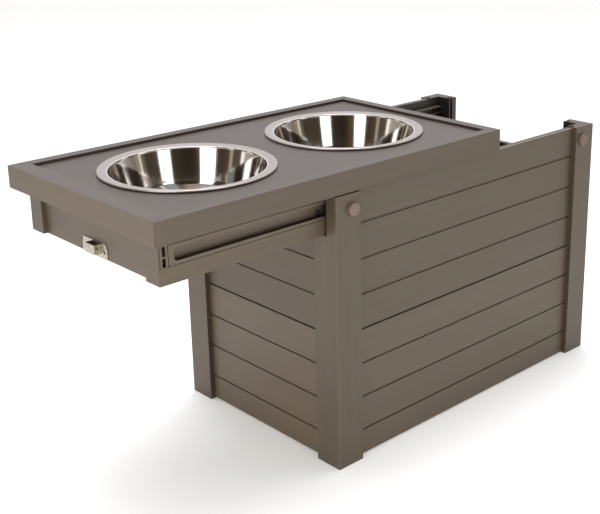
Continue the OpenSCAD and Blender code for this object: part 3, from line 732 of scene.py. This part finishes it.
def bowl_profile(sizes, edge, rim):
    """Half section of a bowl, from its axis over the inner side and the rim back to its axis."""
    sheet = sizes.bowl_sheet
    bead = sizes.bowl_bead / 2
    lean = sizes.bowl_lean
    mouth = edge - sizes.bowl_flange
    flange = rim - bead
    turn = sizes.bowl_round
    touch = turn - sizes.bowl_round * math.sin(lean)
    corner = (mouth - (flange - touch) * math.tan(lean) - sizes.bowl_round * math.cos(lean), turn)
    degrees = math.degrees(lean)
    inner_mouth = mouth - sheet / math.cos(lean)
    roll = (edge - bead, rim - bead)

    def on_wall(under):
        return (inner_mouth - under * math.tan(lean), flange - under)

    foot = on_wall(STEP_HIGH)
    slope = math.atan2(bead, roll[0] - foot[0])
    rise = math.tan(slope)
    inner_bottom = [(0.0, sheet), (corner[0] - 1 * MM, sheet)]
    inner_corner = arc(corner, sizes.bowl_round - sheet, -90, -degrees, CORNER_STEPS)
    inner_wall = [
        on_wall(flange - touch - 1 * MM), on_wall(STEP_HIGH + 1 * MM), on_wall(STEP_HIGH + 0.2 * MM),
    ]
    step = [(foot[0], foot[1] + 0.2 * MM), (foot[0], flange - LIP * 1.5), (foot[0], flange - LIP)]
    lip = [
        (foot[0] + LIP * 0.3, flange - LIP * 0.3), (foot[0] + LIP, flange + LIP * rise),
        (foot[0] + LIP * 2, flange + 2 * LIP * rise), (roll[0] - 1.0 * MM, rim - 1.0 * MM * rise),
    ]
    rolled_edge = arc(roll, bead, 90 + math.degrees(slope), -195, BEAD_STEPS)
    outer_wall = [(mouth + sheet, flange - sheet * 0.9), (mouth, flange - sheet * 1.6)]
    outer_corner = arc(corner, sizes.bowl_round, -degrees, -90, CORNER_STEPS)
    return [
        *inner_bottom, *inner_corner, *inner_wall, *step, *lip,
        *rolled_edge, *outer_wall, *outer_corner, (0.0, 0.0),
    ]


def turned(name, points):
    """Mesh of a half section turned round the z axis; its first and last points lie on the axis."""
    mesh = bpy.data.meshes.new(name)
    shape = bmesh.new()
    rings = []
    for radius, height in points:
        if radius == 0:
            rings.append([shape.verts.new((0, 0, height))] * RING_STEPS)
            continue
        ring = []
        for step in range(RING_STEPS):
            angle = 2 * math.pi * step / RING_STEPS
            ring.append(shape.verts.new((radius * math.cos(angle), radius * math.sin(angle), height)))
        rings.append(ring)
    for ring, beyond in zip(rings, rings[1:]):
        for step in range(RING_STEPS):
            step_on = (step + 1) % RING_STEPS
            corners = [ring[step], ring[step_on], beyond[step_on], beyond[step]]
            face = [corner for number, corner in enumerate(corners) if corner not in corners[:number]]
            shape.faces.new(face).smooth = True
    bmesh.ops.recalc_face_normals(shape, faces=shape.faces[:])
    shape.to_mesh(mesh)
    shape.free()
    return mesh


class FEEDER_OT_bowls(bpy.types.Operator):
    """Turn the two bowls from sheet steel"""

    bl_idname = "feeder.bowls"
    bl_label = "Bowls"

    def execute(self, context):
        steel = context.scene.feeder_colours.steel
        sizes = context.scene.feeder_sizes
        for node, body in BOWLS.items():
            low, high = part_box(node)
            edge = (high.x - low.x) / 2
            middle = Vector(((low.x + high.x) / 2, (low.y + high.y) / 2, low.z))
            mesh = turned(f"{node}_turned", bowl_profile(sizes, edge, high.z - low.z))
            mesh.materials.append(bowl_finish(f"{node}_steel", steel, edge - sizes.bowl_flange))
            piece = bpy.data.objects.new(f"{node}_turned", mesh)
            piece.location = middle
            context.collection.objects.link(piece)
            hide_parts(node)
            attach(piece, body)
        return {"FINISHED"}


def sector(degrees):
    """Place of a direction on the way round the studio, from 0 to 1; the camera's side is at one half."""
    return degrees / 360 + 0.5


def walls(table):
    """Stops of a ramp that goes round the studio's walls."""
    return {"stops": [(sector(degrees), colour) for degrees, colour in table]}


class FEEDER_OT_stage(bpy.types.Operator):
    """Set the floor, the lights and the camera"""

    bl_idname = "feeder.stage"
    bl_label = "Studio"

    def execute(self, context):
        self.lay_floor()
        self.light_sky(context.scene)
        self.hang_lights(context.scene.feeder_studio)
        self.set_camera(context.scene)
        context.scene.view_settings.view_transform = "Standard"
        return {"FINISHED"}

    def lay_floor(self):
        mesh = bpy.data.meshes.new("floor")
        half = FLOOR_HALF
        corners = [(-half, -half, 0), (half, -half, 0), (half, half, 0), (-half, half, 0)]
        mesh.from_pydata(corners, [], [(0, 1, 2, 3)])
        floor = bpy.data.objects.new("floor", mesh)
        bpy.context.collection.objects.link(floor)
        finish = Finish("floor_paint")
        cloud = finish.noise(finish.place(), scale=2.0)
        tone = finish.mix(cloud, (0.90, 0.90, 0.90), (0.92, 0.92, 0.92))
        glow = finish.mix(cloud, (0.17, 0.17, 0.17), (0.19, 0.19, 0.19))
        finish.surface({
            "Base Color": tone, "Roughness": 0.9, "Emission Color": glow, "Emission Strength": 1.0,
        })
        mesh.materials.append(finish.material)

    def lamp(self, name, place, target, size, radiance, colour):
        """A light panel that isn't seen itself, only its light and its reflection."""
        data = bpy.data.lights.new(name, "AREA")
        data.shape = "RECTANGLE"
        data.size, data.size_y = size
        data.energy = radiance * math.pi * size[0] * size[1]
        data.color = colour
        lamp = bpy.data.objects.new(name, data)
        lamp.location = place
        aim = Vector(target) - Vector(place)
        lamp.rotation_euler = aim.to_track_quat("-Z", "Y").to_euler()
        lamp.visible_camera = False
        bpy.context.collection.objects.link(lamp)

    def hang_lights(self, studio):
        radiance = {"right_panel": studio.right_panel, "left_panel": studio.left_panel}
        for name, (x, y, wide, top) in FOOT_PANELS.items():
            middle = (PANEL_FOOT + top) / 2
            aim = (-0.10, 0, middle)
            size = (wide, top - PANEL_FOOT)
            self.lamp(name, (x, y, middle), aim, size, radiance[name], WARM_LIGHT)
        for name, place in LOW_PANELS.items():
            self.lamp(name, place, LOW_AIM, LOW_SIZE, studio.low_panels, WARM_LIGHT)
        self.lamp(
            "ceiling_panel", CEILING_PLACE, CEILING_AIM, CEILING_SIZE, studio.ceiling_panel, WHITE_LIGHT,
        )

    def light_sky(self, scene):
        """Pale walls behind the feeder, and darker ones with bright strips towards the camera."""
        world = bpy.data.worlds.new("studio")
        scene.world = world
        world.use_nodes = True
        sky = Finish("studio", world.node_tree)
        x, y, z = sky.split(sky.add("ShaderNodeTexCoord", output=0))
        towards = x * TOWARDS_X + y * TOWARDS_Y
        aside = x * -TOWARDS_Y + y * TOWARDS_X
        turn = sky.math("ARCTAN2", aside, towards) / (2 * math.pi) + 0.5
        band = sky.add("ShaderNodeValToRGB", walls(SKY_BAND), {0: turn})
        ceiling = sky.add("ShaderNodeValToRGB", walls(SKY_CEILING), {0: turn})
        above = sky.mix(sky.step(z, *SKY_START), ceiling, SKY_TOP)
        drop = sky.step(turn, sector(BAND_DROP_PLACE[0]), sector(BAND_DROP_PLACE[1]))
        limit = BAND_TOP - BAND_DROP * drop
        colour = sky.mix(sky.step(z - limit, 0.0, BAND_FADE), band, above)
        background = sky.add("ShaderNodeBackground", inputs={"Color": colour, "Strength": 1.0})
        sky.add("ShaderNodeOutputWorld", inputs={"Surface": background})

    def set_camera(self, scene):
        studio = scene.feeder_studio
        across = math.cos(studio.elevation)
        back = Vector((
            math.sin(studio.azimuth) * across,
            -math.cos(studio.azimuth) * across,
            math.sin(studio.elevation),
        ))
        right = Vector((0, 0, 1)).cross(back).normalized()
        up = back.cross(right)
        roll = Matrix.Rotation(studio.roll, 3, "Z")
        turn = Matrix((right, up, back)).transposed() @ roll
        data = bpy.data.cameras.new("camera")
        data.sensor_width = SENSOR_WIDTH
        data.lens = studio.focal_pixels * SENSOR_WIDTH / IMAGE_WIDTH
        data.shift_x = (IMAGE_WIDTH / 2 - studio.centre_x) / IMAGE_WIDTH
        data.shift_y = (studio.centre_y - IMAGE_HEIGHT / 2) / IMAGE_WIDTH
        data.clip_start = 0.01
        camera = bpy.data.objects.new("camera", data)
        place = Vector(studio.aim) + back * studio.distance
        camera.matrix_world = Matrix.Translation(place) @ turn.to_4x4()
        bpy.context.collection.objects.link(camera)
        scene.camera = camera


class FEEDER_PT_panel(bpy.types.Panel):
    """Lists the feeder's pieces and finishes"""

    bl_idname = "FEEDER_PT_panel"
    bl_label = "Feeder"
    bl_space_type = "VIEW_3D"
    bl_region_type = "UI"
    bl_category = "Feeder"

    def draw(self, context):
        scene = context.scene
        for group in (scene.feeder_colours, scene.feeder_sizes, scene.feeder_studio):
            for name in group.__annotations__:
                self.layout.prop(group, name)
        for piece in PIECES:
            self.layout.operator(piece.bl_idname)


PIECES = (FEEDER_OT_boards, FEEDER_OT_slides, FEEDER_OT_fittings, FEEDER_OT_bowls, FEEDER_OT_stage)
GROUPS = {"feeder_colours": FeederColours, "feeder_sizes": FeederSizes, "feeder_studio": FeederStudio}


def register():
    for made in (*GROUPS.values(), *PIECES, FEEDER_PT_panel):
        bpy.utils.register_class(made)
    for name, group in GROUPS.items():
        setattr(bpy.types.Scene, name, bpy.props.PointerProperty(type=group))


def unregister():
    for name in GROUPS:
        delattr(bpy.types.Scene, name)
    for made in reversed((*GROUPS.values(), *PIECES, FEEDER_PT_panel)):
        bpy.utils.unregister_class(made)


def main():
    register()
    bpy.ops.feeder.boards()
    bpy.ops.feeder.slides()
    bpy.ops.feeder.fittings()
    bpy.ops.feeder.bowls()
    bpy.ops.feeder.stage()


if __name__ == "__main__":
    main()
